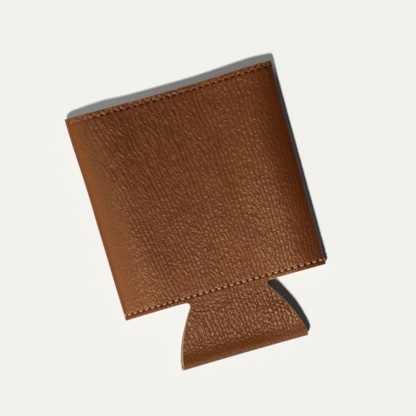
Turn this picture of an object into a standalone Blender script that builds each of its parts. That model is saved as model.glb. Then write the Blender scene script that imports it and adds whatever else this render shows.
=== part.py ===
"""A leather can cooler sleeve, lying flat and empty.

X runs across the sleeve, Y towards its mouth and Z up from the surface that it lies on.
The shell is one leather blank, cut out flat and then folded: it wraps into a tube whose ends
butt at the middle of the back, and its base flap doubles back under the bottom edge, where
its tongue is held between the back of the shell and the lining.
"""

from math import atan2, cos, pi, sin, tan

import bmesh
import bpy
import numpy as np

MM = 0.001

# The sleeve's body, measured over the leather
BODY_HEIGHT = 108.5 * MM
FOOT_WIDTH = 109.0 * MM
MOUTH_WIDTH = 111.9 * MM
FOOT_BOW = 0.5 * MM
MOUTH_BOW = 0.8 * MM
SEAM_GAP = 0.4 * MM

# The layers of the wall, and how sharply the pocket is creased at its two sides
LEATHER = 1.2 * MM
LINING = 1.5 * MM
POCKET_CREASE = 0.3 * MM
CLEARANCE = 0.3 * MM
LINING_SETBACK = 0.5 * MM

# How far the front stands off the back, and the lie of the front across the sleeve
MOUTH_BULGE = 0.7 * MM
CROWN = 1.2 * MM
LEFT_SHOULDER = 26.0 * MM
RIGHT_SHOULDER = 14.0 * MM
SIDE_LIFT = 0.8 * MM
SWAY = 0.4 * MM

# The base flap, and the tongue that holds its far end
FLAP_REACH = 33.8 * MM
FLAP_WIDTH = 68.6 * MM
NECK_WIDTH = 38.5 * MM
FLAP_ROUNDNESS = 1.7
NECK_FILLET = 2.0 * MM
FLAP_SHIFT = 1.2 * MM
FLAP_LEAN = 0.5 * MM
FLAP_SKEW = 1.2 * MM
FLAP_BEND = 1.6 * MM
FLAP_DIP = 0.2 * MM
FLAP_SAG = 1.9
DIP_LENGTH = 6.0 * MM
TONGUE_LENGTH = 8.0 * MM
TONGUE_RAMP = 6.0 * MM
BASE_OPENING = 0.5 * MM

# Derived sizes
WALL = LEATHER + CLEARANCE + LINING + POCKET_CREASE
TONGUE_LIFT = LEATHER + CLEARANCE
FOOT_BULGE = TONGUE_LIFT + BASE_OPENING - 2 * POCKET_CREASE
FOLD_RADIUS = FLAP_BEND + LEATHER
FLAP_RUN = FLAP_REACH - FOLD_RADIUS
FLAP_HALF = FLAP_RUN + FOLD_RADIUS * pi / 2
FLAP_LENGTH = 2 * FLAP_HALF + TONGUE_LENGTH

# How finely the curved surfaces are drawn and cut into faces
SECTION_POINTS = 240
ARC_POINTS = 24
MOST_TURN = 0.36
COLUMN_STEP = 6.0 * MM
ROW_STEP = 8.0 * MM
FLAP_ROW_STEP = 4.0 * MM
BEND_ROW_STEP = 1.5 * MM
EDGE_POINTS = 28
FILLET_POINTS = 5
CUT_TOLERANCE = 0.0001 * MM

COLLECTION = "can_cooler_sleeve"


def clear_scene():
    for item in list(bpy.data.objects):
        bpy.data.objects.remove(item, do_unlink=True)


def make_collection(name):
    collection = bpy.data.collections.new(name)
    bpy.context.scene.collection.children.link(collection)
    return collection


def make_material(name, colour, roughness):
    material = bpy.data.materials.new(name)
    material.use_nodes = True
    shader = material.node_tree.nodes["Principled BSDF"]
    shader.inputs["Base Color"].default_value = (*colour, 1.0)
    shader.inputs["Roughness"].default_value = roughness
    shader.inputs["Metallic"].default_value = 0.0
    return material


def smooth_step(value):
    """A ramp from 0 to 1 that starts and ends level."""
    value = np.clip(value, 0.0, 1.0)
    return value * value * (3.0 - 2.0 * value)


def half_width(rise):
    """Half the sleeve's width over the leather, where rise is 0 at the foot and 1 at the mouth."""
    return (FOOT_WIDTH + (MOUTH_WIDTH - FOOT_WIDTH) * rise) / 2


def bulge(rise):
    """How much more than its creased sides the pocket opens at this rise."""
    return FOOT_BULGE * (1 - rise) + MOUTH_BULGE * rise + CROWN * 4 * rise * (1 - rise)


def pocket_front(x, reach, rise):
    """Height of the pocket's front above its level back, zero at the two side creases."""
    left = np.sin(pi / 2 * np.clip((x + reach) / LEFT_SHOULDER, 0, 1))
    right = np.sin(pi / 2 * np.clip((reach - x) / RIGHT_SHOULDER, 0, 1))
    across = x / reach
    sway = SWAY * np.sin(pi * across) * 4 * rise * (1 - rise)
    return left * right * (bulge(rise) + SIDE_LIFT * across**2 + sway)


def section(rise, layer):
    """Cross-section of the layer that lies this far outside the pocket.

    Starts and ends at the middle of the back, running over the left side first.
    Returns the length along it, and its X and Z.
    """
    reach = half_width(rise) - WALL
    x = np.linspace(-reach, reach, SECTION_POINTS)
    z = pocket_front(x, reach, rise)
    slope = np.arctan(np.gradient(z, x))
    front_x = x - layer * np.sin(slope)
    front_z = z + layer * np.cos(slope)
    left_turn = np.linspace(-pi / 2, -pi * 3 / 2 + slope[0], ARC_POINTS)[1:-1]
    right_turn = np.linspace(pi / 2 + slope[-1], -pi / 2, ARC_POINTS)[1:-1]
    back = np.linspace(0, reach, ARC_POINTS)
    all_x = np.concatenate([
        -back,
        -reach + layer * np.cos(left_turn),
        front_x,
        reach + layer * np.cos(right_turn),
        back[::-1],
    ])
    all_z = WALL + np.concatenate([
        np.full(ARC_POINTS, -layer),
        layer * np.sin(left_turn),
        front_z,
        layer * np.sin(right_turn),
        np.full(ARC_POINTS, -layer),
    ])
    steps = np.hypot(np.diff(all_x), np.diff(all_z))
    return np.concatenate([[0.0], np.cumsum(steps)]), all_x, all_z


def wrapped(share, rise, layer, gap):
    """Point of the tube at this share of the way round: -1 and 1 are the seam's two sides."""
    length, x, z = section(rise, layer)
    middle = length[-1] / 2
    along = middle + share * (middle - gap / 2)
    return float(np.interp(along, length, x)), float(np.interp(along, length, z))


def edge_drop(x):
    """How much lower the foot edge lies away from the middle."""
    return FOOT_BOW * (2 * x / FOOT_WIDTH) ** 2


def body_y(x, rise):
    """Place along the sleeve: both edges are bowed, with their corners standing out."""
    corner = MOUTH_BOW * (2 * x / MOUTH_WIDTH) ** 2
    return rise * (BODY_HEIGHT + corner) - (1 - rise) * edge_drop(x)


def cut_stations(length, x, z, longest):
    """Lengths along a curve where it is cut into faces, closer together where it bends."""
    heading = np.unwrap(np.arctan2(np.diff(z), np.diff(x)))
    stations = []
    since, turned = 0.0, 0.0
    for i in range(1, len(heading)):
        since += length[i] - length[i - 1]
        turned += abs(heading[i] - heading[i - 1])
        if since >= longest or turned >= MOST_TURN:
            stations.append(length[i])
            since, turned = 0.0, 0.0
    return stations


def blank_half_width():
    """Half the width of the leather blank that wraps round the sleeve."""
    length, _, _ = section(0.5, WALL)
    return (length[-1] - SEAM_GAP) / 2


def column_lines():
    length, x, z = section(0.5, WALL)
    return [station - length[-1] / 2 for station in cut_stations(length, x, z, COLUMN_STEP)]


def even_lines(start, end, longest):
    """Evenly spaced places between two ends, no further apart than the longest step."""
    count = int(np.ceil((end - start) / longest))
    return [start + (end - start) * i / count for i in range(count + 1)]


def fold_lines():
    """Places along the flap where it is cut into faces, measured down from the foot edge."""
    turns = int(np.ceil(pi / MOST_TURN))
    bend = [FLAP_RUN + FOLD_RADIUS * pi * i / turns for i in range(turns + 1)]
    dip = FLAP_RUN - DIP_LENGTH
    ramp_end = 2 * FLAP_HALF - CLEARANCE
    ramp_start = ramp_end - TONGUE_RAMP
    return (
        even_lines(0, dip, FLAP_ROW_STEP)[:-1]
        + even_lines(dip, FLAP_RUN, BEND_ROW_STEP)[:-1]
        + bend
        + even_lines(bend[-1], ramp_start, FLAP_ROW_STEP)[1:-1]
        + even_lines(ramp_start, ramp_end, BEND_ROW_STEP)
    )


def flap_half_width(down):
    """Half the flap's width this far down from the foot edge: widest where it folds."""
    away = min(abs(down - FLAP_HALF) / FLAP_HALF, 1.0)
    return FLAP_WIDTH / 2 - (FLAP_WIDTH - NECK_WIDTH) / 2 * away**FLAP_ROUNDNESS


def notch_arc():
    """The fillet of the notch beside the neck, as distance out from the flap's axis and down."""
    near = flap_half_width(0)
    lean = atan2(flap_half_width(NECK_FILLET) - near, NECK_FILLET)
    opening = pi / 2 - lean
    centre = near + NECK_FILLET / tan(opening / 2)
    sweep = pi - opening
    points = []
    for i in range(FILLET_POINTS + 1):
        angle = pi / 2 + sweep * i / FILLET_POINTS
        points.append((centre + NECK_FILLET * cos(angle), NECK_FILLET - NECK_FILLET * sin(angle)))
    return points


def flap_edge():
    """Outline of one side of the flap, from the notch to the end of the tongue."""
    points = notch_arc()
    start = points[-1][1]
    for i in range(1, EDGE_POINTS + 1):
        down = start + (2 * FLAP_HALF - start) * i / EDGE_POINTS
        points.append((flap_half_width(down), down))
    points.append((NECK_WIDTH / 2, FLAP_LENGTH))
    return points


def blank_outline():
    """Outline of the whole blank: across it from the front's middle, and up from the foot edge."""
    side = blank_half_width()
    left = [(FLAP_SHIFT - out, -down) for out, down in flap_edge()]
    right = [(FLAP_SHIFT + out, -down) for out, down in reversed(flap_edge())]
    return [(-side, 0)] + left + right + [(side, 0), (side, BODY_HEIGHT), (-side, BODY_HEIGHT)]


def cut_along(bm, place, direction):
    bmesh.ops.bisect_plane(
        bm,
        geom=bm.verts[:] + bm.edges[:] + bm.faces[:],
        dist=CUT_TOLERANCE,
        plane_co=place,
        plane_no=direction,
    )


def flat_blank():
    """The leather blank lying flat, with the cut lines along which it will bend."""
    bm = bmesh.new()
    corners = [bm.verts.new((across, up, 0)) for across, up in blank_outline()]
    bm.faces.new(corners)
    for across in column_lines():
        cut_along(bm, (across, 0, 0), (1, 0, 0))
    for up in even_lines(0, BODY_HEIGHT, ROW_STEP)[1:-1]:
        cut_along(bm, (0, up, 0), (0, 1, 0))
    for down in fold_lines():
        cut_along(bm, (0, -down, 0), (0, 1, 0))
    return bm


def body_point(across, up):
    """Where a point of the blank's body goes when the sleeve is wrapped."""
    rise = up / BODY_HEIGHT
    x, z = wrapped(across / blank_half_width(), rise, WALL, SEAM_GAP)
    return x, body_y(x, rise), z


def flap_top(top, down):
    """Height of the flap's front half, which dips and then rises a little into its fold."""
    low = 2 * FOLD_RADIUS - FLAP_DIP
    dip = FLAP_RUN - DIP_LENGTH
    fall = smooth_step((down / dip) ** FLAP_SAG)
    climb = smooth_step((down - dip) / DIP_LENGTH)
    return top + (low - top) * fall + FLAP_DIP * climb


def flap_point(across, down):
    """Where a point of the base flap goes: forward, round the fold and back to the foot."""
    x, top = wrapped(across / blank_half_width(), 0.0, WALL, SEAM_GAP)
    foot = -edge_drop(x)
    if down <= FLAP_RUN:
        return x + FLAP_LEAN * smooth_step(down / FLAP_RUN), foot - down, flap_top(top, down)
    past = down - FLAP_RUN
    turn = past / FOLD_RADIUS
    if turn < pi:
        drift = FLAP_LEAN - FLAP_SKEW * smooth_step(turn / pi)
        return x + drift, foot - FLAP_RUN - FOLD_RADIUS * sin(turn), FOLD_RADIUS * (1 + cos(turn))
    back = past - pi * FOLD_RADIUS
    drift = (FLAP_LEAN - FLAP_SKEW) * (1 - smooth_step(back / FLAP_RUN))
    ramp = smooth_step((back - FLAP_RUN + CLEARANCE + TONGUE_RAMP) / TONGUE_RAMP)
    return x + drift, foot - FLAP_RUN + back, TONGUE_LIFT * ramp


def folded(point):
    across, up = point[0], point[1]
    if up >= 0:
        return body_point(across, up)
    return flap_point(across, -up)


def finish_object(name, bm, thickness, material, collection):
    """Turns an outer surface into a sheet of this thickness, laid inwards."""
    mesh = bpy.data.meshes.new(name)
    bm.normal_update()
    bm.to_mesh(mesh)
    bm.free()
    mesh.shade_smooth()
    mesh.materials.append(material)
    sheet = bpy.data.objects.new(name, mesh)
    collection.objects.link(sheet)
    solidify = sheet.modifiers.new("thickness", "SOLIDIFY")
    solidify.thickness = thickness
    solidify.offset = -1.0
    solidify.use_even_offset = True
    return sheet


def add_shell(collection):
    bm = flat_blank()
    for vertex in bm.verts:
        vertex.co = folded(vertex.co)
    leather = make_material("chestnut_leather", (0.15, 0.05, 0.018), 0.55)
    return finish_object("leather_shell", bm, LEATHER, leather, collection)


def tongue_rise(x, y, z):
    """How far the lining is pushed up where it passes over the tongue of the flap."""
    beside = NECK_WIDTH / 2 + COLUMN_STEP + TONGUE_RAMP - abs(x - FLAP_SHIFT)
    beyond = TONGUE_LENGTH + ROW_STEP + TONGUE_RAMP - y
    over = smooth_step(beside / TONGUE_RAMP) * smooth_step(beyond / TONGUE_RAMP)
    return TONGUE_LIFT * over if z < WALL else 0.0


def add_lining(collection):
    layer = POCKET_CREASE + LINING
    length, x, z = section(0.5, layer)
    stations = cut_stations(length, x, z, COLUMN_STEP)
    rows = even_lines(LINING_SETBACK, BODY_HEIGHT - LINING_SETBACK, ROW_STEP)
    bm = bmesh.new()
    bmesh.ops.create_cone(bm, cap_ends=False, segments=len(stations), radius1=1, radius2=1, depth=2)
    for row in rows[1:-1]:
        place = 2 * (row - rows[0]) / (rows[-1] - rows[0]) - 1
        cut_along(bm, (0, 0, place), (0, 0, 1))
    for vertex in bm.verts:
        column = round(atan2(vertex.co.y, vertex.co.x) / (2 * pi) * len(stations)) % len(stations)
        up = rows[0] + (rows[-1] - rows[0]) * (vertex.co.z + 1) / 2
        rise = up / BODY_HEIGHT
        share = 2 * stations[column] / length[-1] - 1
        across, height = wrapped(share, rise, layer, 0.0)
        along = body_y(across, rise)
        vertex.co = (across, along, height + tongue_rise(across, along, height))
    foam = make_material("charcoal_foam", (0.03, 0.03, 0.032), 0.9)
    return finish_object("lining", bm, LINING, foam, collection)


def stand_on_origin(pieces):
    """Moves the sleeve so that the origin is at the middle of its underside."""
    corners = np.array([vertex.co for piece in pieces for vertex in piece.data.vertices])
    low, high = corners.min(axis=0), corners.max(axis=0)
    for piece in pieces:
        piece.location = (-(low[0] + high[0]) / 2, -(low[1] + high[1]) / 2, -low[2])


def build():
    clear_scene()
    collection = make_collection(COLLECTION)
    shell = add_shell(collection)
    lining = add_lining(collection)
    stand_on_origin([shell, lining])


build()
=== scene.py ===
"""Looks of a leather can cooler sleeve that lies flat and empty, seen from straight above.

The shell is drawn as the leather blank that it is cut from, and then folded: the base flap,
the stitch rows and the grain are all placed on the flat blank, in metres across it from the
middle of the front and up from the foot edge.
"""

from math import atan2, ceil, cos, pi, radians, sin, tan

import bmesh
import bpy
import numpy as np
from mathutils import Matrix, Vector, noise


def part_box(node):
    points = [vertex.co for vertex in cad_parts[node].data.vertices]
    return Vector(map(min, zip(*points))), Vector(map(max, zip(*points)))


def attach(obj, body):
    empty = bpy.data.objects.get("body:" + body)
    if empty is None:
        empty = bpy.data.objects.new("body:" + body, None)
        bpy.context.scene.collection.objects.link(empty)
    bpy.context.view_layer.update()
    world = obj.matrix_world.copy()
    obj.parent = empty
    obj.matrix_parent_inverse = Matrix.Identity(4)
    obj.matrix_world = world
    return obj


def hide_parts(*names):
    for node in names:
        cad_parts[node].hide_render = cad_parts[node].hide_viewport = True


MM = 0.001

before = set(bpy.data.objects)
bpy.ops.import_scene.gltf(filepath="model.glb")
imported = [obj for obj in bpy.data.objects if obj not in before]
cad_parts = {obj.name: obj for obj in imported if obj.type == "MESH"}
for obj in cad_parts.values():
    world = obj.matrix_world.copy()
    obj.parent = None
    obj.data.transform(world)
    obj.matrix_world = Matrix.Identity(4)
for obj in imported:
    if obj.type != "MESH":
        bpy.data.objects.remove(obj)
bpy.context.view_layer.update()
SHELL_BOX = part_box("leather_shell")

# The sleeve's sizes, as the CAD part has them
BODY_HEIGHT = 108.5 * MM
FOOT_WIDTH = 109.0 * MM
MOUTH_WIDTH = 111.9 * MM
FOOT_BOW = 0.5 * MM
MOUTH_BOW = 0.8 * MM
SEAM_GAP = 0.4 * MM
LEATHER = 1.2 * MM
LINING = 1.5 * MM
POCKET_CREASE = 0.3 * MM
CLEARANCE = 0.3 * MM
LINING_SETBACK = 0.5 * MM
MOUTH_BULGE = 0.7 * MM
CROWN = 1.2 * MM
LEFT_SHOULDER = 26.0 * MM
RIGHT_SHOULDER = 14.0 * MM
SIDE_LIFT = 0.8 * MM
SWAY = 0.4 * MM
FLAP_REACH = 33.8 * MM
FLAP_WIDTH = 68.6 * MM
NECK_WIDTH = 38.5 * MM
FLAP_ROUNDNESS = 1.7
NECK_FILLET = 2.0 * MM
FLAP_SHIFT = 1.2 * MM
FLAP_LEAN = 0.5 * MM
FLAP_SKEW = 1.2 * MM
FLAP_BEND = 1.6 * MM
FLAP_DIP = 0.2 * MM
DIP_LENGTH = 6.0 * MM
TONGUE_LENGTH = 8.0 * MM
TONGUE_RAMP = 6.0 * MM
BASE_OPENING = 0.5 * MM

WALL = LEATHER + CLEARANCE + LINING + POCKET_CREASE
TONGUE_LIFT = LEATHER + CLEARANCE
FOOT_BULGE = TONGUE_LIFT + BASE_OPENING - 2 * POCKET_CREASE
FOLD_RADIUS = FLAP_BEND + LEATHER
FLAP_RUN = FLAP_REACH - FOLD_RADIUS
FLAP_HALF = FLAP_RUN + FOLD_RADIUS * pi / 2
FLAP_LENGTH = 2 * FLAP_HALF + TONGUE_LENGTH

# The foot edge's place in the frame, from the mouth's corners
FOOT_Y = SHELL_BOX[1][1] - BODY_HEIGHT - MOUTH_BOW

# Stitch rows: distance from the edge, then the place of one hole, the pitch there and how fast
# the count of stitches to the metre grows along the row
FOOT_ROW = 2.55 * MM
FOOT_START = -0.96 * MM
FOOT_PITCH = 3.41 * MM
FOOT_DRIFT = -155.0
MOUTH_ROW = 2.65 * MM
MOUTH_START = 0.67 * MM
MOUTH_PITCH = 3.518 * MM
SEAM_ROW = 3.0 * MM
SEAM_PITCH = 3.5 * MM

# The leather about the stitches
ROW_DEPTH = 0.22 * MM
ROW_REACH = 0.7 * MM
HOLE_LENGTH = 1.45 * MM
HOLE_WIDTH = 1.0 * MM
HOLE_DEPTH = 0.4 * MM
PUCKER = 0.24 * MM
BACK_TROUGH = 0.42 * MM
BACK_TROUGH_REACH = 0.8 * MM
BACK_THREAD_RISE = 0.32 * MM

# Threads: the gap from one stitch to the next, the slant of the foot's stitches, the width and
# height of each thread, and the share of its width by which all of them sink in
FOOT_GAP = 1.3 * MM
MOUTH_GAP = 1.25 * MM
SEAM_STITCH_GAP = 1.2 * MM
FOOT_SLANT = 0.14 * MM
FOOT_THREAD = (0.85 * MM, 0.62 * MM)
MOUTH_THREAD = (0.78 * MM, 0.42 * MM)
SEAM_THREAD = (0.75 * MM, 0.5 * MM)
THREAD_FULLNESS = 0.7
THREAD_SINK = 0.45
THREAD_RINGS = 9
THREAD_SIDES = 8

# Soft forms of the front: a broad and a fine unevenness, as height and size, a swell that ends
# the left side, and a lip at the right of the mouth that is lifted and reaches out
BROAD_RIPPLE = (0.16 * MM, 14 * MM)
FINE_RIPPLE = (0.05 * MM, 4 * MM)
SWELL = 0.8 * MM
SWELL_PLACE = -37.0 * MM
SWELL_LEAN = -0.01
SWELL_WIDTH = 8.5 * MM
SWELL_START = 30 * MM
LIP_PLACE = 40.0 * MM
LIP_WIDTH = 17.0 * MM
LIP_RISE = 0.5 * MM
LIP_REACH = 0.36 * MM
LIP_DEPTH = 12 * MM

# The left edge is drawn in at its waist and a little below, and let out above, and the foot
# edge rises at its left
SIDE_SWAY = 0.3 * MM
SWAY_START = 25 * MM
WAIST = 62 * MM
BELOW_WAIST = 60 * MM
ABOVE_WAIST = 74 * MM
FOOT_RISE = 0.25 * MM
FOOT_RISE_START = 20 * MM

# The flap's fall from the foot, the hollow before its bend, its curled right edge, and how
# square its bend is, where 2 would be round
FLAP_SAG = 1.1
FLAP_HOLLOW = 0.35 * MM
HOLLOW_PLACE = 4.5 * MM
HOLLOW_REACH = (8.0 * MM, 3.6 * MM)
FLAP_CURL = 1.1 * MM
CURL_ACROSS = 8 * MM
CURL_DOWN = (10 * MM, 32 * MM)
BEND_SQUARENESS = 3.0

# The rounding of the cut edge
RIM_STEPS = 4
RIM_BULGE = 0.3 * MM
RIM_FULLNESS = 0.6

# How finely the leather is drawn: the cage is halved twice before it is folded
COLUMN_STEP = 3.2 * MM
BACK_COLUMN_STEP = 9.0 * MM
ROW_STEP = 6.2 * MM
STITCH_ROW_STEP = 1.3 * MM
FLAP_ROW_STEP = 3.4 * MM
BEND_STEP = 1.6 * MM
MOST_TURN = 0.45
HALVINGS = 2

# The foam's faces and its softened ends
FOAM_STEP = 1.6 * MM
FOAM_BEVEL = 0.3 * MM


def smooth_step(value):
    """A ramp from 0 to 1 that starts and ends level."""
    value = np.clip(value, 0.0, 1.0)
    return value * value * (3.0 - 2.0 * value)


class StitchRow:
    """Places of the holes of one row of stitches along the blank."""

    def __init__(self, up, start, pitch, drift=0.0):
        self.up = up
        self.start = start
        self.pitch = pitch
        self.drift = drift

    def number(self, across):
        """How many stitches lie between the starting hole and this place."""
        away = across - self.start
        return away / self.pitch + self.drift * away**2

    def place(self, number):
        rate = 1 / self.pitch
        return self.start + 2 * number / (rate + np.sqrt(rate**2 + 4 * self.drift * number))

    def from_hole(self, across):
        number = self.number(across)
        return (number - np.round(number)) * self.pitch


FOOT_STITCHES = StitchRow(FOOT_ROW, FOOT_START, FOOT_PITCH, FOOT_DRIFT)
MOUTH_STITCHES = StitchRow(BODY_HEIGHT - MOUTH_ROW, MOUTH_START, MOUTH_PITCH)


# The wrapped tube


def half_width(rise):
    return (FOOT_WIDTH + (MOUTH_WIDTH - FOOT_WIDTH) * rise) / 2


def bulge(rise):
    return FOOT_BULGE * (1 - rise) + MOUTH_BULGE * rise + CROWN * 4 * rise * (1 - rise)


def pocket_front(x, reach, rise):
    """Height of the pocket's front above its level back, zero at the two side creases."""
    left = np.sin(pi / 2 * np.clip((x + reach) / LEFT_SHOULDER, 0, 1))
    right = np.sin(pi / 2 * np.clip((reach - x) / RIGHT_SHOULDER, 0, 1))
    across = x / reach
    sway = SWAY * np.sin(pi * across) * 4 * rise * (1 - rise)
    return left * right * (bulge(rise) + SIDE_LIFT * across**2 + sway)


def section(rise, layer, points=600, turns=60):
    """Cross-section of the layer that lies this far outside the pocket, from the back's middle."""
    reach = half_width(rise) - WALL
    x = np.linspace(-reach, reach, points)
    z = pocket_front(x, reach, rise)
    slope = np.arctan(np.gradient(z, x))
    left_turn = np.linspace(-pi / 2, -pi * 3 / 2 + slope[0], turns)[1:-1]
    right_turn = np.linspace(pi / 2 + slope[-1], -pi / 2, turns)[1:-1]
    back = np.linspace(0, reach, turns)
    all_x = np.concatenate([
        -back,
        -reach + layer * np.cos(left_turn),
        x - layer * np.sin(slope),
        reach + layer * np.cos(right_turn),
        back[::-1],
    ])
    all_z = WALL + np.concatenate([
        np.full(turns, -layer),
        layer * np.sin(left_turn),
        z + layer * np.cos(slope),
        layer * np.sin(right_turn),
        np.full(turns, -layer),
    ])
    steps = np.hypot(np.diff(all_x), np.diff(all_z))
    return np.concatenate([[0.0], np.cumsum(steps)]), all_x, all_z


class Tube:
    """The wrapped tube of one layer, read at any share of the way round and any rise."""

    RISES = 41
    SHARES = 2401

    def __init__(self, layer, gap):
        shares = np.linspace(-1, 1, self.SHARES)
        self.x = np.empty((self.RISES, self.SHARES))
        self.z = np.empty((self.RISES, self.SHARES))
        for i, rise in enumerate(np.linspace(0, 1, self.RISES)):
            length, x, z = section(rise, layer)
            along = length[-1] / 2 + shares * (length[-1] - gap) / 2
            self.x[i] = np.interp(along, length, x)
            self.z[i] = np.interp(along, length, z)

    def at(self, share, rise):
        """Places x and z at these shares of the way round, from -1 to 1, and these rises."""
        column = np.clip((share + 1) / 2, 0, 1) * (self.SHARES - 1)
        row = np.clip(rise, 0, 1) * (self.RISES - 1)
        c = np.minimum(column.astype(int), self.SHARES - 2)
        r = np.minimum(row.astype(int), self.RISES - 2)
        u, v = column - c, row - r
        places = []
        for table in (self.x, self.z):
            low = (1 - u) * table[r, c] + u * table[r, c + 1]
            high = (1 - u) * table[r + 1, c] + u * table[r + 1, c + 1]
            places.append((1 - v) * low + v * high)
        return tuple(places)


def edge_drop(x):
    return FOOT_BOW * (2 * x / FOOT_WIDTH) ** 2


def body_y(x, rise):
    corner = MOUTH_BOW * (2 * x / MOUTH_WIDTH) ** 2
    return rise * (BODY_HEIGHT + corner) - (1 - rise) * edge_drop(x)


# The blank


def cut_stations(length, x, z, longest_front, longest_back):
    """Lengths along a curve where it is cut into faces, closer together where it bends."""
    heading = np.unwrap(np.arctan2(np.diff(z), np.diff(x)))
    stations = []
    since, turned = 0.0, 0.0
    for i in range(1, len(heading)):
        since += length[i] - length[i - 1]
        turned += abs(heading[i] - heading[i - 1])
        longest = longest_front if z[i] > WALL else longest_back
        if since >= longest or turned >= MOST_TURN:
            stations.append(length[i])
            since, turned = 0.0, 0.0
    return stations


def blank_half_width():
    length, _, _ = section(0.5, WALL)
    return (length[-1] - SEAM_GAP) / 2


BLANK_HALF = blank_half_width()


def even_lines(start, end, longest):
    count = max(1, int(ceil((end - start) / longest - 1e-6)))
    return [start + (end - start) * i / count for i in range(count + 1)]


def column_lines():
    length, x, z = section(0.5, WALL)
    stations = cut_stations(length, x, z, COLUMN_STEP, BACK_COLUMN_STEP)
    lines = [station - length[-1] / 2 for station in stations]
    for side in (-1, 1):
        lines += [side * (BLANK_HALF - SEAM_ROW + beside) for beside in (-1.0 * MM, 0.0, 1.0 * MM)]
    return lines


def body_lines():
    """Places up the body where it is cut into faces, close together along the two stitch rows."""
    foot_strip = 2 * FOOT_ROW
    mouth_strip = BODY_HEIGHT - 2 * MOUTH_ROW
    return (
        even_lines(0, foot_strip, STITCH_ROW_STEP)
        + even_lines(foot_strip, mouth_strip, ROW_STEP)[1:-1]
        + even_lines(mouth_strip, BODY_HEIGHT, STITCH_ROW_STEP)[:-1]
    )


def fold_lines():
    bend_end = FLAP_RUN + FOLD_RADIUS * pi
    dip = FLAP_RUN - DIP_LENGTH
    ramp_end = 2 * FLAP_HALF - CLEARANCE
    ramp_start = ramp_end - TONGUE_RAMP
    return (
        even_lines(0, dip, FLAP_ROW_STEP)[1:-1]
        + even_lines(dip, FLAP_RUN, BEND_STEP)[:-1]
        + even_lines(FLAP_RUN, bend_end, BEND_STEP)
        + even_lines(bend_end, ramp_start, 2 * FLAP_ROW_STEP)[1:-1]
        + even_lines(ramp_start, ramp_end, 2 * BEND_STEP)
    )


def flap_half_width(down):
    away = min(abs(down - FLAP_HALF) / FLAP_HALF, 1.0)
    return FLAP_WIDTH / 2 - (FLAP_WIDTH - NECK_WIDTH) / 2 * away**FLAP_ROUNDNESS


def notch_arc(steps=10):
    """The fillet of the notch beside the neck, as distance out from the flap's axis and down."""
    near = flap_half_width(0)
    lean = atan2(flap_half_width(NECK_FILLET) - near, NECK_FILLET)
    opening = pi / 2 - lean
    centre = near + NECK_FILLET / tan(opening / 2)
    turns = [pi / 2 + (pi - opening) * i / steps for i in range(steps + 1)]
    return [(centre + NECK_FILLET * cos(a), NECK_FILLET * (1 - sin(a))) for a in turns]


def flap_edge(steps=48):
    points = notch_arc()
    start = points[-1][1]
    for i in range(1, steps + 1):
        down = start + (2 * FLAP_HALF - start) * i / steps
        points.append((flap_half_width(down), down))
    points.append((NECK_WIDTH / 2, FLAP_LENGTH))
    return points


def blank_outline():
    left = [(FLAP_SHIFT - out, -down) for out, down in flap_edge()]
    right = [(FLAP_SHIFT + out, -down) for out, down in reversed(flap_edge())]
    top = [(BLANK_HALF, 0), (BLANK_HALF, BODY_HEIGHT), (-BLANK_HALF, BODY_HEIGHT)]
    return [(-BLANK_HALF, 0)] + left + right + top


def cut_along(bm, place, direction):
    bmesh.ops.bisect_plane(
        bm,
        geom=bm.verts[:] + bm.edges[:] + bm.faces[:],
        dist=1e-7,
        plane_co=place,
        plane_no=direction,
    )


def cut_strip(bm, row):
    """Cut the front's faces along one stitch row at every hole and halfway between holes."""
    low, high = row.up - 2 * MOUTH_ROW, row.up + 2 * MOUTH_ROW
    last = int(row.number(BLANK_HALF / 2) * 2)
    for half in range(int(row.number(-BLANK_HALF / 2) * 2), last + 1):
        faces = []
        for face in bm.faces:
            centre = face.calc_center_bounds()
            if max(low, 0) < centre.y < min(high, BODY_HEIGHT) and abs(centre.x) < BLANK_HALF / 2:
                faces.append(face)
        edges = {edge for face in faces for edge in face.edges}
        verts = {vert for face in faces for vert in face.verts}
        bmesh.ops.bisect_plane(
            bm,
            geom=list(verts) + list(edges) + faces,
            dist=1e-7,
            plane_co=(float(row.place(half / 2)), 0, 0),
            plane_no=(1, 0, 0),
        )


def flat_blank():
    """Mesh of the flat blank, cut into a cage and then halved without changing its outline."""
    bm = bmesh.new()
    bm.faces.new([bm.verts.new((across, up, 0)) for across, up in blank_outline()])
    for across in column_lines():
        cut_along(bm, (across, 0, 0), (1, 0, 0))
    for up in body_lines():
        cut_along(bm, (0, up, 0), (0, 1, 0))
    for down in fold_lines():
        cut_along(bm, (0, -down, 0), (0, 1, 0))
    for row in (FOOT_STITCHES, MOUTH_STITCHES):
        cut_strip(bm, row)
    mesh = bpy.data.meshes.new("blank")
    bm.to_mesh(mesh)
    bm.free()
    cage = bpy.data.objects.new("blank", mesh)
    bpy.context.scene.collection.objects.link(cage)
    halved = cage.modifiers.new("halved", "SUBSURF")
    halved.subdivision_type = "SIMPLE"
    halved.levels = HALVINGS
    halved.render_levels = HALVINGS
    fine = bpy.data.meshes.new_from_object(cage.evaluated_get(bpy.context.evaluated_depsgraph_get()))
    bpy.data.objects.remove(cage)
    return fine


# Folding


def flap_top(top, down):
    low = 2 * FOLD_RADIUS - FLAP_DIP
    dip = FLAP_RUN - DIP_LENGTH
    fall = smooth_step(np.maximum(down / dip, 0) ** FLAP_SAG)
    climb = smooth_step((down - dip) / DIP_LENGTH)
    return top + (low - top) * fall + FLAP_DIP * climb


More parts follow.
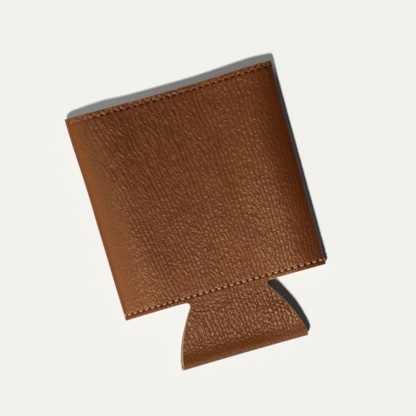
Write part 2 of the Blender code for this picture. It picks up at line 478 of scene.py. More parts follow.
def fold(tube, across, up):
    """Places of the blank's points when the sleeve is wrapped and its flap is doubled back."""
    body = up >= 0
    x, z = tube.at(across / BLANK_HALF, np.where(body, up / BODY_HEIGHT, 0.0))
    y = np.where(body, body_y(x, up / BODY_HEIGHT), 0.0)
    down = np.where(body, 0.0, -up)
    foot = -edge_drop(x)
    turn = np.clip((down - FLAP_RUN) / FOLD_RADIUS, 0, pi)
    back = np.maximum(down - FLAP_RUN - pi * FOLD_RADIUS, 0)
    front_half = (foot - down, flap_top(z, down))
    out = np.abs(np.sin(turn)) ** (2 / BEND_SQUARENESS)
    high = np.sign(np.cos(turn)) * np.abs(np.cos(turn)) ** (2 / BEND_SQUARENESS)
    bend = (foot - FLAP_RUN - FOLD_RADIUS * out, FOLD_RADIUS * (1 + high))
    ramp = smooth_step((back - FLAP_RUN + CLEARANCE + TONGUE_RAMP) / TONGUE_RAMP)
    back_half = (foot - FLAP_RUN + back, TONGUE_LIFT * ramp)
    drift = FLAP_LEAN * smooth_step(down / FLAP_RUN) - FLAP_SKEW * smooth_step(turn / pi)
    drift = drift * (1 - smooth_step(back / FLAP_RUN))
    which = [body, down <= FLAP_RUN, turn < pi]
    y = np.select(which, [y, front_half[0], bend[0]], back_half[0])
    z = np.select(which, [z, front_half[1], bend[1]], back_half[1])
    return np.stack([x + drift, y + FOOT_Y, z], axis=1)


def outward(tube, across, up):
    """Unit normals of the folded surface, away from the leather."""
    step = 0.05 * MM
    along = fold(tube, across + step, up) - fold(tube, across - step, up)
    above = fold(tube, across, up + step) - fold(tube, across, up - step)
    normal = np.cross(along, above)
    return normal / np.maximum(np.linalg.norm(normal, axis=1, keepdims=True), 1e-12)


def ripple(points, size, seed):
    """Smooth noise of this size over the blank, between about -1 and 1."""
    return np.array([noise.noise(Vector((a / size, b / size, seed))) for a, b in points])


def hill(distance):
    return np.exp(-(distance**2))


def stitch_relief(across, up):
    """The shallow trough of each row, its holes at the foot and its puckers at the mouth."""
    foot = up - FOOT_STITCHES.up
    mouth = up - MOUTH_STITCHES.up
    troughs = ROW_DEPTH * (hill(foot / ROW_REACH) + hill(mouth / ROW_REACH))
    from_hole = FOOT_STITCHES.from_hole(across)
    holes = HOLE_DEPTH * hill(from_hole * 1.6 / HOLE_LENGTH) * hill(foot * 1.6 / HOLE_WIDTH)
    from_gap = MOUTH_STITCHES.from_hole(across)
    puckers = PUCKER * hill(from_gap / (0.8 * MM)) * hill((mouth - 0.5 * MM) / (0.9 * MM))
    return puckers - troughs - holes


def on_back(across):
    """Share of the way from the front round to the back, on which the sleeve lies."""
    return smooth_step((np.abs(across) / BLANK_HALF - 0.5) / 0.04)


def back_relief(across, up):
    """The troughs that take the threads of the back, so that none stands out below it."""
    seam = np.abs(across) - BLANK_HALF + SEAM_ROW
    above_foot = smooth_step((up - MOUTH_ROW + 1.0 * MM) / MM)
    below_mouth = smooth_step((BODY_HEIGHT - MOUTH_ROW + 1.0 * MM - up) / MM)
    foot = hill((up - FOOT_STITCHES.up) / BACK_TROUGH_REACH)
    mouth = hill((up - MOUTH_STITCHES.up) / BACK_TROUGH_REACH)
    beside_seam = hill(seam / BACK_TROUGH_REACH) * (above_foot * below_mouth)
    return -BACK_TROUGH * np.maximum(np.maximum(foot, mouth), beside_seam)


def relief(across, up):
    """How far the leather stands out from its smooth folded form, in metres."""
    points = np.stack([across, up * 0.5], axis=1)
    soft = BROAD_RIPPLE[0] * ripple(points, BROAD_RIPPLE[1], 1.3)
    soft = soft + FINE_RIPPLE[0] * ripple(points, FINE_RIPPLE[1], 7.7)
    middle = SWELL_PLACE + SWELL_LEAN * up
    soft += SWELL * hill((across - middle) / SWELL_WIDTH) * smooth_step(up / SWELL_START)
    soft += LIP_RISE * lip(across, up)
    past = -up - FLAP_RUN + HOLLOW_PLACE
    before_hollow, after_hollow = HOLLOW_REACH
    soft -= FLAP_HOLLOW * hill(past / np.where(past > 0, after_hollow, before_hollow))
    soft += FLAP_CURL * flap_curl(across, -up)
    back = on_back(across)
    back_flap = smooth_step((-up - FLAP_RUN - 0.6 * MM) / (1.5 * MM))
    front = soft * (1 - back_flap) + stitch_relief(across, up)
    return front * (1 - back) + back_relief(across, up) * back


def flap_curl(across, down):
    """Share of the lift of the flap's right edge, between its neck and its bend."""
    start, end = CURL_DOWN
    beside = smooth_step((across - CURL_ACROSS) / (18 * MM))
    return beside * smooth_step((down - start) / (9 * MM)) * smooth_step((end - down) / (10 * MM))


def lip(across, up):
    """Share of the mouth's lift, at its right."""
    near_mouth = smooth_step((up - BODY_HEIGHT + LIP_DEPTH) / (10 * MM))
    return hill((across - LIP_PLACE) / LIP_WIDTH) * near_mouth


def settle(places, across, up):
    """Move the places within the sleeve's plane, where its edges lie a little out of true."""
    left = smooth_step((-across - SWAY_START) / (25 * MM))
    below = smooth_step((BELOW_WAIST - up) / (20 * MM))
    drawn_in = hill((up - WAIST) / (20 * MM)) + 0.5 * below
    let_out = smooth_step((up - ABOVE_WAIST) / (30 * MM))
    places[:, 0] += SIDE_SWAY * left * (0.8 * drawn_in - 1.1 * let_out)
    foot = hill(np.clip(up, 0, None) / (9 * MM)) * (up > -3 * MM)
    places[:, 1] += FOOT_RISE * foot * smooth_step((-across - FOOT_RISE_START) / (8 * MM))
    places[:, 1] += LIP_REACH * lip(across, up)


# Materials

# Colours, as linear light
TONE_LOW = (0.084, 0.0214, 0.0043, 1)
TONE_HIGH = (0.108, 0.0300, 0.0068, 1)
# The next two are partly painted light on the left side and, brighter, on its edge, where the light
# falls from the left, and partly the leather's own lighter tone there
TONE_LIT_LEFT = (0.118, 0.0335, 0.0080, 1)
TONE_LIT_EDGE = (0.145, 0.0390, 0.0080, 1)
# Painted shade on the right side, which turns away from the light
TONE_RIGHT_SHADE = (0.055, 0.0105, 0.0014, 1)
TONE_FLAP = (0.066, 0.0138, 0.0018, 1)
TONE_BEND = (0.083, 0.0230, 0.0060, 1)
# Painted shade in the grain's grooves
TONE_GROOVE_SHADE = (0.066, 0.0140, 0.0026, 1)
# Painted highlights on the puckers between the mouth row and the mouth
TONE_PUCKER_HIGHLIGHT = (0.215, 0.078, 0.029, 1)
# Painted highlight along the fold's edge, where it turns towards the light
TONE_FOLD_HIGHLIGHT = (0.125, 0.085, 0.062, 1)
# Painted shade in the needle holes of the foot row
TONE_HOLE_SHADE = (0.012, 0.006, 0.0035, 1)
SHEEN_TINT = (1.0, 0.56, 0.31, 1)
FLAP_SHEEN_TINT = (1.0, 0.60, 0.34, 1)
FLESH_SIDE = ((0.40, 0.25, 0.14, 1), (0.22, 0.12, 0.06, 1))
CUT_EDGE = ((0.46, 0.30, 0.19, 1), (0.24, 0.12, 0.06, 1))
TAN_THREAD = ((0.52, 0.29, 0.17, 1), (0.30, 0.14, 0.07, 1))
DARK_THREAD = ((0.010, 0.0045, 0.0025, 1), (0.005, 0.002, 0.001, 1))
THREAD_WORN = (0.22, 0.10, 0.048, 1)
FOAM_DARK = (0.014, 0.014, 0.015, 1)
FOAM_LIGHT = (0.035, 0.035, 0.037, 1)
PAPER_SEEN = (0.888, 0.880, 0.839, 1)
PAPER_LIGHT = 1.01
PAPER = tuple(c / PAPER_LIGHT for c in PAPER_SEEN[:3]) + (1,)
BLACK = (0.0, 0.0, 0.0, 1)

# The floor's glow, by place in the frame in metres: past the mouth, where it is stronger towards
# the left, and beside the right edge
MOUTH_GLOW = 0.184
MOUTH_GLOW_X = (-0.055, 0.03, 1.3 * MOUTH_GLOW, MOUTH_GLOW)
MOUTH_GLOW_Y = (0.060, 0.073)
SIDE_GLOW = 0.018
SIDE_GLOW_X = (0.052, 0.056)
SIDE_GLOW_Y = (-0.040, -0.020)

# Zones of the leather on the blank, in millimetres up it or across it. Each runs from the place
# where it starts to the place where it is whole, and may go on with its shares at those two. Two
# that face each other make a band. The smooth side's edge leans above a turn.
FLAP_ZONE = (2.0, -6.0)
FLAP_TONE_ZONE = (0.5, -4.5)
BEND_ZONE = ((-17.0, -29.0), (-48.0, -40.0))
# Painted highlight along the fold's edge
FOLD_HIGHLIGHT = ((-32.6, -33.4), (-35.2, -33.8))
SMOOTH_SIDE = -30.0
SMOOTH_SIDE_LEAN = -0.07
SMOOTH_SIDE_TURN = 55.0
SMOOTH_SIDE_FADE = 16.0
EDGE_ZONE = (-47.5, -53.0)
RIGHT_ZONE = (36.0, 58.0)
RIGHT_UP = (0.0, 60.0, 0.7, 1.0)
# Painted shade beside the swell, on its side away from the light
SHADE_ZONE = ((-36.0, -25.0), (10.0, -8.0))
SHADE_UP = (5.0, 35.0, 0.4, 0.5)
BELOW_ROW = (2.6, 1.6, 0.0, 0.35)
BELOW_ROW_LEFT = (-14.0, -24.0)
ABOVE_ROW = ((106.1, 106.9), (108.9, 108.0))
CALM_LEFT_UP = (0.0, 22.0, 0.45, 0.8)
CALM_RIGHT = 0.3
CALM_BEND = (-21.0, -33.0, 0.0, 0.6)
TIGHT_HOLES = (-28.0, -48.0, 1.0, 1.7)
DULL_FLAP = (-1.0, -6.0, 0.0, 0.42)
DULL_BEFORE_BEND = (-13.0, -21.0, 0.0, 0.48)
DULL_BEND = 0.75
DULL_RIGHT = 0.8
SHINE_RIGHT = ((14.0, 28.0), (45.0, 37.0))
SHINE_RIGHT_UP = (80.0, 45.0)
SHINE_LEFT = ((-46.0, -41.0), (-32.0, -38.0))
SHINE_LEFT_SHARE = 0.4
SHINE_MIDDLE = (-28.0, -16.0)
SHINE_MIDDLE_UP = (50.0, 25.0)
SHINE_MIDDLE_FOOT = (-6.0, 3.0, 0.0, 0.25)

# Specular level of plain, polished and dull leather
PLAIN_LEVEL = 0.5
SHINY_LEVEL = 0.7
DULL_LEVEL = 0.05

# Where the mouth's thread is worn, in metres across the frame, and how much
THREAD_WORN_ZONE = (-0.037, -0.052)
THREAD_WORN_SHARE = 0.7

# The grain. Its rows lean and fan out about the middle of the body, and its folds are longer in
# one part of the front. Each kind has two patterns, of a width and a length in millimetres, that
# take turns over the leather, and it sinks by a share along its rows.
GRAIN_DEPTH = 0.25 * MM
PORE_DEPTH = 0.03 * MM
GRAIN_LEAN = 0.10
GRAIN_FAN = -0.0025
GRAIN_MIDDLE = 54.0
LONG_FOLDS_UP = (45.0, 85.0)
LONG_FOLDS_ACROSS = (28.0, 4.0)
SHORT_FOLDS = ((2.45, 2.2), (2.15, 2.4))
LONG_FOLDS = ((2.45, 4.5), (2.15, 5.0))
FLAP_BEADS = ((2.6, 2.8), (2.3, 2.6))
SHORT_SINK = 0.75
LONG_SINK = 0.6
BEAD_SINK = 0.95
PATTERN_SEEDS = (0.0, 31.7)
BODY_STRENGTH = 1.12
FLAP_STRENGTH = (-4.0, -14.0, 0.8, 0.97)


class Nodes:
    """A small helper that adds and links shader nodes."""

    def __init__(self, name):
        self.material = bpy.data.materials.new(name)
        self.material.use_nodes = True
        self.tree = self.material.node_tree
        self.shader = self.tree.nodes["Principled BSDF"]

    def node(self, kind, inputs=(), **settings):
        made = self.tree.nodes.new(kind)
        for name, value in settings.items():
            setattr(made, name, value)
        for socket, value in dict(inputs).items():
            self.put(made.inputs[socket], value)
        return made

    def put(self, socket, value):
        if isinstance(value, bpy.types.NodeSocket):
            self.tree.links.new(value, socket)
        else:
            socket.default_value = value

    def look(self, name, value):
        """Set one input of the material's shader."""
        self.put(self.shader.inputs[name], value)

    def math(self, operation, a, b=0.0, c=0.0):
        return self.node("ShaderNodeMath", {0: a, 1: b, 2: c}, operation=operation).outputs[0]

    def times(self, a, b):
        return self.math("MULTIPLY", a, b)

    def most(self, first, *others):
        for other in others:
            first = self.math("MAXIMUM", first, other)
        return first

    def remap(self, value, low, high, to_low=0.0, to_high=1.0):
        """A ramp that starts and ends level, from one share to the other."""
        inputs = {0: value, 1: low, 2: high, 3: to_low, 4: to_high}
        return self.node("ShaderNodeMapRange", inputs, interpolation_type="SMOOTHSTEP").outputs[0]

    def band(self, value, near, far):
        """A share that is whole between two ramps that face each other."""
        return self.times(self.remap(value, *near), self.remap(value, *far))

    def vectors(self, operation, a, b):
        return self.node("ShaderNodeVectorMath", {0: a, 1: b}, operation=operation).outputs[0]

    def scaled(self, vector, factors):
        return self.vectors("MULTIPLY", vector, factors)

    def noise(self, vector, scale, detail=2.0, roughness=0.5, output="Fac"):
        inputs = {"Vector": vector, "Scale": scale, "Detail": detail, "Roughness": roughness}
        return self.node("ShaderNodeTexNoise", inputs).outputs[output]

    def shaken(self, vector, scale, amount):
        """The same places moved about by noise, by up to about half this amount."""
        colour = self.noise(vector, scale, 1.0, output="Color")
        centred = self.vectors("SUBTRACT", colour, (0.5, 0.5, 0.5))
        moved = self.node("ShaderNodeVectorMath", {0: centred, "Scale": amount}, operation="SCALE")
        return self.vectors("ADD", vector, self.scaled(moved.outputs[0], (1.0, 1.0, 0.0)))

    def mix(self, factor, a, b):
        return self.node("ShaderNodeMix", {"Factor": factor, 2: a, 3: b}).outputs[0]

    def mix_colour(self, factor, a, b):
        made = self.node("ShaderNodeMix", data_type="RGBA")
        self.put(made.inputs[0], factor)
        self.put(made.inputs[6], a)
        self.put(made.inputs[7], b)
        return made.outputs[2]

    def bump(self, height, distance, strength=1.0, normal=None):
        inputs = {"Height": height, "Distance": distance, "Strength": strength}
        if normal is not None:
            inputs["Normal"] = normal
        return self.node("ShaderNodeBump", inputs).outputs["Normal"]

    def joined(self, x, y):
        return self.node("ShaderNodeCombineXYZ", {0: x, 1: y}).outputs[0]

    def split(self, vector):
        """The vector's x and y."""
        return self.node("ShaderNodeSeparateXYZ", {0: vector}).outputs[:2]

    def blank(self):
        """Place on the flat blank in millimetres, across and up, as a vector and two numbers."""
        place = self.node("ShaderNodeAttribute", attribute_name="blank").outputs["Vector"]
        return place, *self.split(place)

    def object_place(self):
        """Place in the frame in metres, as a vector and as its x and y."""
        place = self.node("ShaderNodeTexCoord").outputs["Object"]
        return place, *self.split(place)


class GrainColumns:
    """Columns of grain up the leather, of this width in millimetres, each with its own noise."""

    # How far apart in the noise two neighbouring columns are
    STRIDE = 7.31

    def __init__(self, n, place, wide, long, seed):
        across, self.along = n.split(n.scaled(place, (1.0 / wide, 1.0 / long, 1.0)))
        column = n.math("FLOOR", across)
        inside = n.math("SUBTRACT", across, column)
        self.crest = n.math("SINE", n.times(inside, pi))
        self.lane = n.math("MULTIPLY_ADD", column, self.STRIDE, seed)

    def noise(self, n, along):
        return n.noise(n.joined(self.lane, along), 1.0, 1.0)


def beads(n, place, wide, long, sink, seed):
    """Height of rows of small beads of this width and length in millimetres."""
    columns = GrainColumns(n, place, wide, long, seed)
    slow = n.times(columns.along, 0.25)
    drift = n.times(columns.noise(n, slow), 8.0)
    swell = n.math("ABSOLUTE", n.math("SINE", n.math("MULTIPLY_ADD", columns.along, pi, drift)))
    return n.times(columns.crest, n.mix(sink, 1.0, swell))


def strands(n, place, wide, long, sink, seed):
    """Height of soft ridges of this width in millimetres, which swell and sink lengthwise."""
    columns = GrainColumns(n, place, wide, long, seed)
    swell = n.remap(columns.noise(n, columns.along), 0.3, 0.7)
    return n.times(columns.crest, n.mix(sink, 1.0, swell))


def two_patterns(n, kind, sizes, sink, place, turns):
    """The two patterns of one kind of grain, which take turns over the leather."""
    (wide_a, long_a), (wide_b, long_b) = sizes
    first = kind(n, place, wide_a, long_a, sink, PATTERN_SEEDS[0])
    second = kind(n, place, wide_b, long_b, sink, PATTERN_SEEDS[1])
    return n.mix(turns, first, second)


def leather_grain(n, zones, calm):
    """Height of the grain: beaded on the flap, drawn out into fine folds up the body."""
    across, up = zones.across, zones.up
    lean = n.math("MULTIPLY_ADD", across, GRAIN_FAN, GRAIN_LEAN)
    turned = n.math("MULTIPLY_ADD", n.math("SUBTRACT", up, GRAIN_MIDDLE), lean, across)
    coarse = n.shaken(n.joined(turned, up), 0.09, 3.0)
    wavy = n.shaken(coarse, 0.35, n.mix(zones.flap, 1.1, 1.5))
    drawn_out = n.times(n.remap(up, *LONG_FOLDS_UP), n.remap(across, *LONG_FOLDS_ACROSS))
    turns = n.remap(n.noise(wavy, 0.28, 1.0), 0.44, 0.56)
    short = two_patterns(n, strands, SHORT_FOLDS, SHORT_SINK, wavy, turns)
    long = two_patterns(n, strands, LONG_FOLDS, LONG_SINK, wavy, turns)
    beaded = two_patterns(n, beads, FLAP_BEADS, BEAD_SINK, wavy, turns)
    ridge = n.noise(n.scaled(coarse, (0.30, 0.04, 1.0)), 1.0, 1.0, 0.5)
    crease = n.remap(n.math("ABSOLUTE", n.math("SUBTRACT", ridge, 0.5)), 0.04, 0.0)
    crease = n.times(crease, n.mix(drawn_out, 0.15, 0.6))
    folds = n.math("SUBTRACT", n.mix(drawn_out, short, long), crease)
    body = n.times(folds, BODY_STRENGTH)
    height = n.mix(zones.flap, body, n.times(beaded, n.remap(up, *FLAP_STRENGTH)))
    fine = n.noise(n.scaled(wavy, (1.3, 0.65, 1.0)), 1.0, 2.0, 0.5)
    height = n.math("MULTIPLY_ADD", fine, n.mix(zones.flap, 0.5, 0.25), height)
    return n.mix(calm, height, n.math("MULTIPLY_ADD", fine, 0.35, 0.75))


def stitch_holes(n, across, up):
    """Mask of the dark holes of the foot row, which are tighter towards the left."""
    away = n.math("SUBTRACT", across, FOOT_START / MM)
    rate = n.math("MULTIPLY_ADD", away, FOOT_DRIFT * MM * MM, MM / FOOT_PITCH)
    number = n.times(away, rate)
    from_hole = n.math("SUBTRACT", number, n.math("ROUND", number))
    wide = n.times(from_hole, FOOT_PITCH * 2 / HOLE_LENGTH)
    high = n.times(n.math("SUBTRACT", up, FOOT_ROW / MM), 2 * MM / HOLE_WIDTH)
    reach = n.math("ADD", n.times(wide, wide), n.times(high, high))
    return n.remap(n.times(reach, n.remap(across, *TIGHT_HOLES)), 1.3, 0.5)


class LeatherZones:
    """A point's place on the blank, and its share of the zones that several looks follow."""

    def __init__(self, n):
        self.place, self.across, self.up = n.blank()
        self.flap = n.remap(self.up, *FLAP_ZONE)
        self.bend = n.band(self.up, *BEND_ZONE)
        turned = n.math("MAXIMUM", self.up, SMOOTH_SIDE_TURN)
        side = n.math("MULTIPLY_ADD", turned, SMOOTH_SIDE_LEAN, SMOOTH_SIDE)
        self.left = n.remap(n.math("SUBTRACT", self.across, side), 0.0, -SMOOTH_SIDE_FADE)
        self.right = n.times(n.remap(self.across, *RIGHT_ZONE), n.remap(self.up, *RIGHT_UP))
        self.holes = stitch_holes(n, self.across, self.up)


def leather_calm(n, zones):
    """Share of the grain that is smoothed away."""
    left = n.times(zones.left, n.remap(zones.up, *CALM_LEFT_UP))
    right = n.times(zones.right, CALM_RIGHT)
    return n.most(left, right, n.remap(zones.up, *CALM_BEND))


def body_tone(n, zones):
    """Colour of the body: its patches, painted shade left of the middle, painted light on the left
    side and its edge, painted shade on the right side, and the strip below the foot row.
    """
    patches = n.remap(n.noise(zones.place, 0.05, 3.0, 0.55), 0.3, 0.7)
    # Painted shade in a band left of the middle, on the side of the swell that turns from the light
    painted_shade = n.times(n.band(zones.across, *SHADE_ZONE), n.remap(zones.up, *SHADE_UP))
    tone = n.mix_colour(n.math("SUBTRACT", patches, painted_shade), TONE_LOW, TONE_HIGH)
    # Partly painted light on the left side and, more, on its edge, lit from the left, and partly the
    # leather's own lighter tone
    tone = n.mix_colour(zones.left, tone, TONE_LIT_LEFT)
    tone = n.mix_colour(n.remap(zones.across, *EDGE_ZONE), tone, TONE_LIT_EDGE)
    # Painted shade on the right side, which turns away from the light
    tone = n.mix_colour(zones.right, tone, TONE_RIGHT_SHADE)
    strip = n.times(n.remap(zones.up, *BELOW_ROW), n.remap(zones.across, *BELOW_ROW_LEFT))
    return n.mix_colour(strip, tone, TONE_FLAP)


def leather_tone(n, zones, height):
    """Colour of the grain side: its zones, painted highlights on the puckers above the mouth row and
    along the fold, and painted shade in its grooves and holes.
    """
    tone = n.mix_colour(n.remap(zones.up, *FLAP_TONE_ZONE), body_tone(n, zones), TONE_FLAP)
    tone = n.mix_colour(zones.bend, tone, TONE_BEND)
    spots = n.remap(n.noise(zones.place, 0.55, 2.0), 0.46, 0.60, 0.0, 0.8)
    # Painted highlights: pale spots on the puckers above the mouth row
    pucker_highlights = n.times(n.band(zones.up, *ABOVE_ROW), spots)
    tone = n.mix_colour(pucker_highlights, tone, TONE_PUCKER_HIGHLIGHT)
    # Painted shade: darker the deeper the groove
    tone = n.mix_colour(n.remap(height, 0.7, 0.0, 0.0, 0.85), tone, TONE_GROOVE_SHADE)
    flecks = n.remap(n.noise(zones.place, 0.45, 2.0), 0.35, 0.55, 0.35, 1.0)
    # Painted highlight: a pale line along the fold's edge, broken by flecks
    wear_and_highlight = n.times(n.band(zones.up, *FOLD_HIGHLIGHT), flecks)
    tone = n.mix_colour(wear_and_highlight, tone, TONE_FOLD_HIGHLIGHT)
    # Painted shade in the needle holes
    return n.mix_colour(zones.holes, tone, TONE_HOLE_SHADE)


def leather_level(n, zones):
    """Specular level, with its dull and its polished places."""
    bend = n.times(zones.bend, DULL_BEND)
    right = n.times(zones.right, DULL_RIGHT)
    flap = n.remap(zones.up, *DULL_FLAP)
    dull = n.most(zones.holes, bend, right, flap, n.remap(zones.up, *DULL_BEFORE_BEND))
    shine_right = n.times(n.band(zones.across, *SHINE_RIGHT), n.remap(zones.up, *SHINE_RIGHT_UP))
    shine_left = n.times(n.band(zones.across, *SHINE_LEFT), SHINE_LEFT_SHARE)
    middle = n.times(n.remap(zones.across, *SHINE_MIDDLE), n.remap(zones.up, *SHINE_MIDDLE_UP))
    middle = n.times(middle, n.remap(zones.up, *SHINE_MIDDLE_FOOT))
    shine = n.most(shine_right, shine_left, middle)
    return n.mix(dull, n.mix(shine, PLAIN_LEVEL, SHINY_LEVEL), DULL_LEVEL)


def leather_material():
    """Grain side of the leather, with its own look where it bends, and painted light and shade over
    its sides, grooves, holes, puckers and fold.
    """
    n = Nodes("chestnut_leather")
    zones = LeatherZones(n)
    height = leather_grain(n, zones, leather_calm(n, zones))
    fine = n.noise(zones.place, 1.6, 3.0, 0.6)
    rough = n.remap(fine, 0.2, 0.8, 0.44, 0.54)
    n.look("Base Color", leather_tone(n, zones, height))
    n.look("Roughness", n.math("MULTIPLY_ADD", zones.flap, -0.08, rough))
    n.look("Specular IOR Level", leather_level(n, zones))
    n.look("Specular Tint", n.mix_colour(zones.flap, SHEEN_TINT, FLAP_SHEEN_TINT))
    n.look("Normal", n.bump(fine, PORE_DEPTH, 0.6, n.bump(height, GRAIN_DEPTH)))
    return n.material


def raw_material(name, light, dark, size):
    """Undyed leather: the fuzzy flesh side, or the cut edge."""
    n = Nodes(name)
    fibre = n.noise(n.object_place()[0], size, 5.0, 0.7)
    n.look("Base Color", n.mix_colour(n.remap(fibre, 0.3, 0.7), dark, light))
    n.look("Roughness", 0.85)
    n.look("Normal", n.bump(fibre, 0.1 * MM, 0.7))
    return n.material


def thread_material(name, light, dark, wear_and_highlight=0.0):
    """Twisted thread, which wears paler towards the left side by this share."""
    n = Nodes(name)
    place, x, _ = n.object_place()
    twist = n.noise(place, 2500.0, 2.0, 0.6)
    tone = n.mix_colour(n.remap(twist, 0.3, 0.7), dark, light)
    n.look("Base Color", n.mix_colour(n.remap(x, *THREAD_WORN_ZONE, 0.0, wear_and_highlight), tone, THREAD_WORN))
    n.look("Roughness", 0.75)
    n.look("Specular IOR Level", 0.08)
    return n.material


def foam_material():
    """Laminated foam: a fine knit over a dark core."""
    n = Nodes("charcoal_foam")
    stretched = n.scaled(n.object_place()[0], (1.0, 0.45, 1.0))
    knit = n.noise(stretched, 1600.0, 2.0, 0.6)
    n.look("Base Color", n.mix_colour(knit, FOAM_DARK, FOAM_LIGHT))
    n.look("Roughness", 0.92)
    n.look("Normal", n.bump(knit, 0.12 * MM, 0.8))
    return n.material


def floor_material():
    """Pale paper. It glows a little past the mouth and at the right, which lifts only the shadows."""
    n = Nodes("pale_floor")
    _, x, y = n.object_place()
    past_mouth = n.times(n.remap(y, *MOUTH_GLOW_Y), n.remap(x, *MOUTH_GLOW_X))
    beside = n.times(n.remap(x, *SIDE_GLOW_X), n.remap(y, *SIDE_GLOW_Y))
    glow = n.most(past_mouth, n.times(beside, SIDE_GLOW))
    n.look("Base Color", n.mix_colour(glow, PAPER, BLACK))
    n.look("Emission Color", n.mix_colour(glow, BLACK, PAPER_SEEN))
    n.look("Emission Strength", 1.0)
    n.look("Roughness", 0.9)
    n.look("Specular IOR Level", 0.0)
    return n.material


# Pieces


def add_object(name, mesh, materials):
    made = bpy.data.objects.new(name, mesh)
    bpy.context.scene.collection.objects.link(made)
    for material in materials:
        mesh.materials.append(material)
    return made


def smooth_mesh(name, verts, faces):
    mesh = bpy.data.meshes.new(name)
    mesh.from_pydata(verts, [], faces)
    mesh.update()
    mesh.shade_smooth()
    return mesh


def wrapped_grid(columns, rows, first=0):
    """Faces of a grid of points, row by row, whose last column joins its first."""
    faces = []
    for r in range(rows - 1):
        for c in range(columns):
            d = (c + 1) % columns
            a, b = first + r * columns, first + (r + 1) * columns
            faces.append((a + c, a + d, b + d, b + c))
    return faces


def apply_modifiers(made):
    graph = bpy.context.evaluated_depsgraph_get()
    finished = made.evaluated_get(graph)
    mesh = bpy.data.meshes.new_from_object(finished, preserve_all_data_layers=True, depsgraph=graph)
    old = made.data
    made.modifiers.clear()
    made.data = mesh
    bpy.data.meshes.remove(old)


def points_of(mesh):
    places = np.empty(len(mesh.vertices) * 3, np.float32)
    mesh.vertices.foreach_get("co", places)
    return places.reshape(-1, 3).astype(float)


def rim_loop(faces, count):
    """The points of the blank's edge, and the points before and after each."""
    starts = faces.ravel()
    ends = np.roll(faces, -1, axis=1).ravel()
    alone = ~np.isin(starts * count + ends, ends * count + starts)
    after = dict(zip(starts[alone].tolist(), ends[alone].tolist()))
    before = {b: a for a, b in after.items()}
    points = np.array(list(after))
    return points, np.array([before[p] for p in points]), np.array([after[p] for p in points])


def rim_directions(places, normals, points, before, after):
    """Unit directions out of the leather's edge, lengthened where the edge turns a corner."""
    arriving = np.cross(places[points] - places[before], normals[points])
    leaving = np.cross(places[after] - places[points], normals[points])
    arriving /= np.linalg.norm(arriving, axis=1, keepdims=True)
    leaving /= np.linalg.norm(leaving, axis=1, keepdims=True)
    middle = arriving + leaving
    length = np.linalg.norm(middle, axis=1, keepdims=True)
    return middle / np.maximum(length, 0.5) ** 2 * 2


def thick_leather(faces, outer, normals):
    """Points and faces of the thick leather, each face's material and each point's source."""
    count = len(outer)
    points, before, after = rim_loop(faces, count)
    out = rim_directions(outer, normals, points, before, after)
    turns = [pi * i / (RIM_STEPS + 1) for i in range(1, RIM_STEPS + 1)]
    rings = []
    for turn in turns:
        inward = normals[points] * LEATHER * (1 - cos(turn)) / 2
        rings.append(outer[points] - inward + out * RIM_BULGE * sin(turn) ** RIM_FULLNESS)
    verts = np.concatenate([outer, outer - normals * LEATHER] + rings)
    sources = np.concatenate([np.arange(count), np.arange(count)] + [points] * RIM_STEPS)
    place = {p: i for i, p in enumerate(points.tolist())}
    follower = np.array([place[p] for p in after.tolist()])
    here = np.arange(len(points))
    starts = [2 * count + i * len(points) for i in range(RIM_STEPS)]
    levels = [points] + [start + here for start in starts] + [points + count]
    next_levels = [after] + [start + follower for start in starts] + [after + count]
    rim = [
        np.stack([levels[i], levels[i + 1], next_levels[i + 1], next_levels[i]], axis=1)
        for i in range(RIM_STEPS + 1)
    ]
    kinds = np.repeat([0, 1, 2], [len(faces), len(faces), len(points) * (RIM_STEPS + 1)])
    return verts, np.concatenate([faces, faces[:, ::-1] + count] + rim), kinds, sources


def make_shell(tube):
    """The folded leather: grain side out, flesh side in, and a cut edge all round."""
    flat_mesh = flat_blank()
    flat = points_of(flat_mesh)
    faces = np.array([tuple(p.vertices) for p in flat_mesh.polygons])
    bpy.data.meshes.remove(flat_mesh)
    across, up = flat[:, 0], flat[:, 1]
    normals = outward(tube, across, up)
    outer = fold(tube, across, up) + normals * relief(across, up)[:, None]
    settle(outer, across, up)
    verts, faces, kinds, sources = thick_leather(faces, outer, normals)
    mesh = bpy.data.meshes.new("leather")
    mesh.from_pydata(verts.tolist(), [], faces.tolist())
    place = mesh.attributes.new("blank", "FLOAT_VECTOR", "POINT")
    place.data.foreach_set("vector", (flat[sources] / MM).astype(np.float32).ravel())
    mesh.polygons.foreach_set("material_index", kinds.astype(np.int32))
    mesh.update()
    mesh.shade_smooth()
    materials = [
        leather_material(),
        raw_material("flesh_side", *FLESH_SIDE, 900.0),
        raw_material("cut_edge", *CUT_EDGE, 1500.0),
    ]
    shell = add_object("leather", mesh, materials)
    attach(shell, "root")
    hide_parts("leather_shell")
    return shell


def lining_mesh():
    """The outside of the foam tube, raised where it passes over the tongue of the flap."""
    layer = POCKET_CREASE + LINING
    tube = Tube(layer, 0.0)
    length, x, z = section(0.5, layer)
    shares = 2 * np.array(cut_stations(length, x, z, FOAM_STEP, FOAM_STEP)) / length[-1] - 1
    rows = np.array(even_lines(LINING_SETBACK, BODY_HEIGHT - LINING_SETBACK, FOAM_STEP))
    share, up = np.meshgrid(shares, rows)
    x, z = tube.at(share.ravel(), up.ravel() / BODY_HEIGHT)
    y = body_y(x, up.ravel() / BODY_HEIGHT)
    beside = NECK_WIDTH / 2 + 2 * TONGUE_RAMP - np.abs(x - FLAP_SHIFT)
    beyond = TONGUE_LENGTH + 2 * TONGUE_RAMP - y
    over = smooth_step(beside / TONGUE_RAMP) * smooth_step(beyond / TONGUE_RAMP)
    z = z + np.where(z < WALL, TONGUE_LIFT * over, 0.0)
    verts = np.stack([x, y + FOOT_Y, z], axis=1)
    return smooth_mesh("lining_foam", verts.tolist(), wrapped_grid(len(shares), len(rows)))


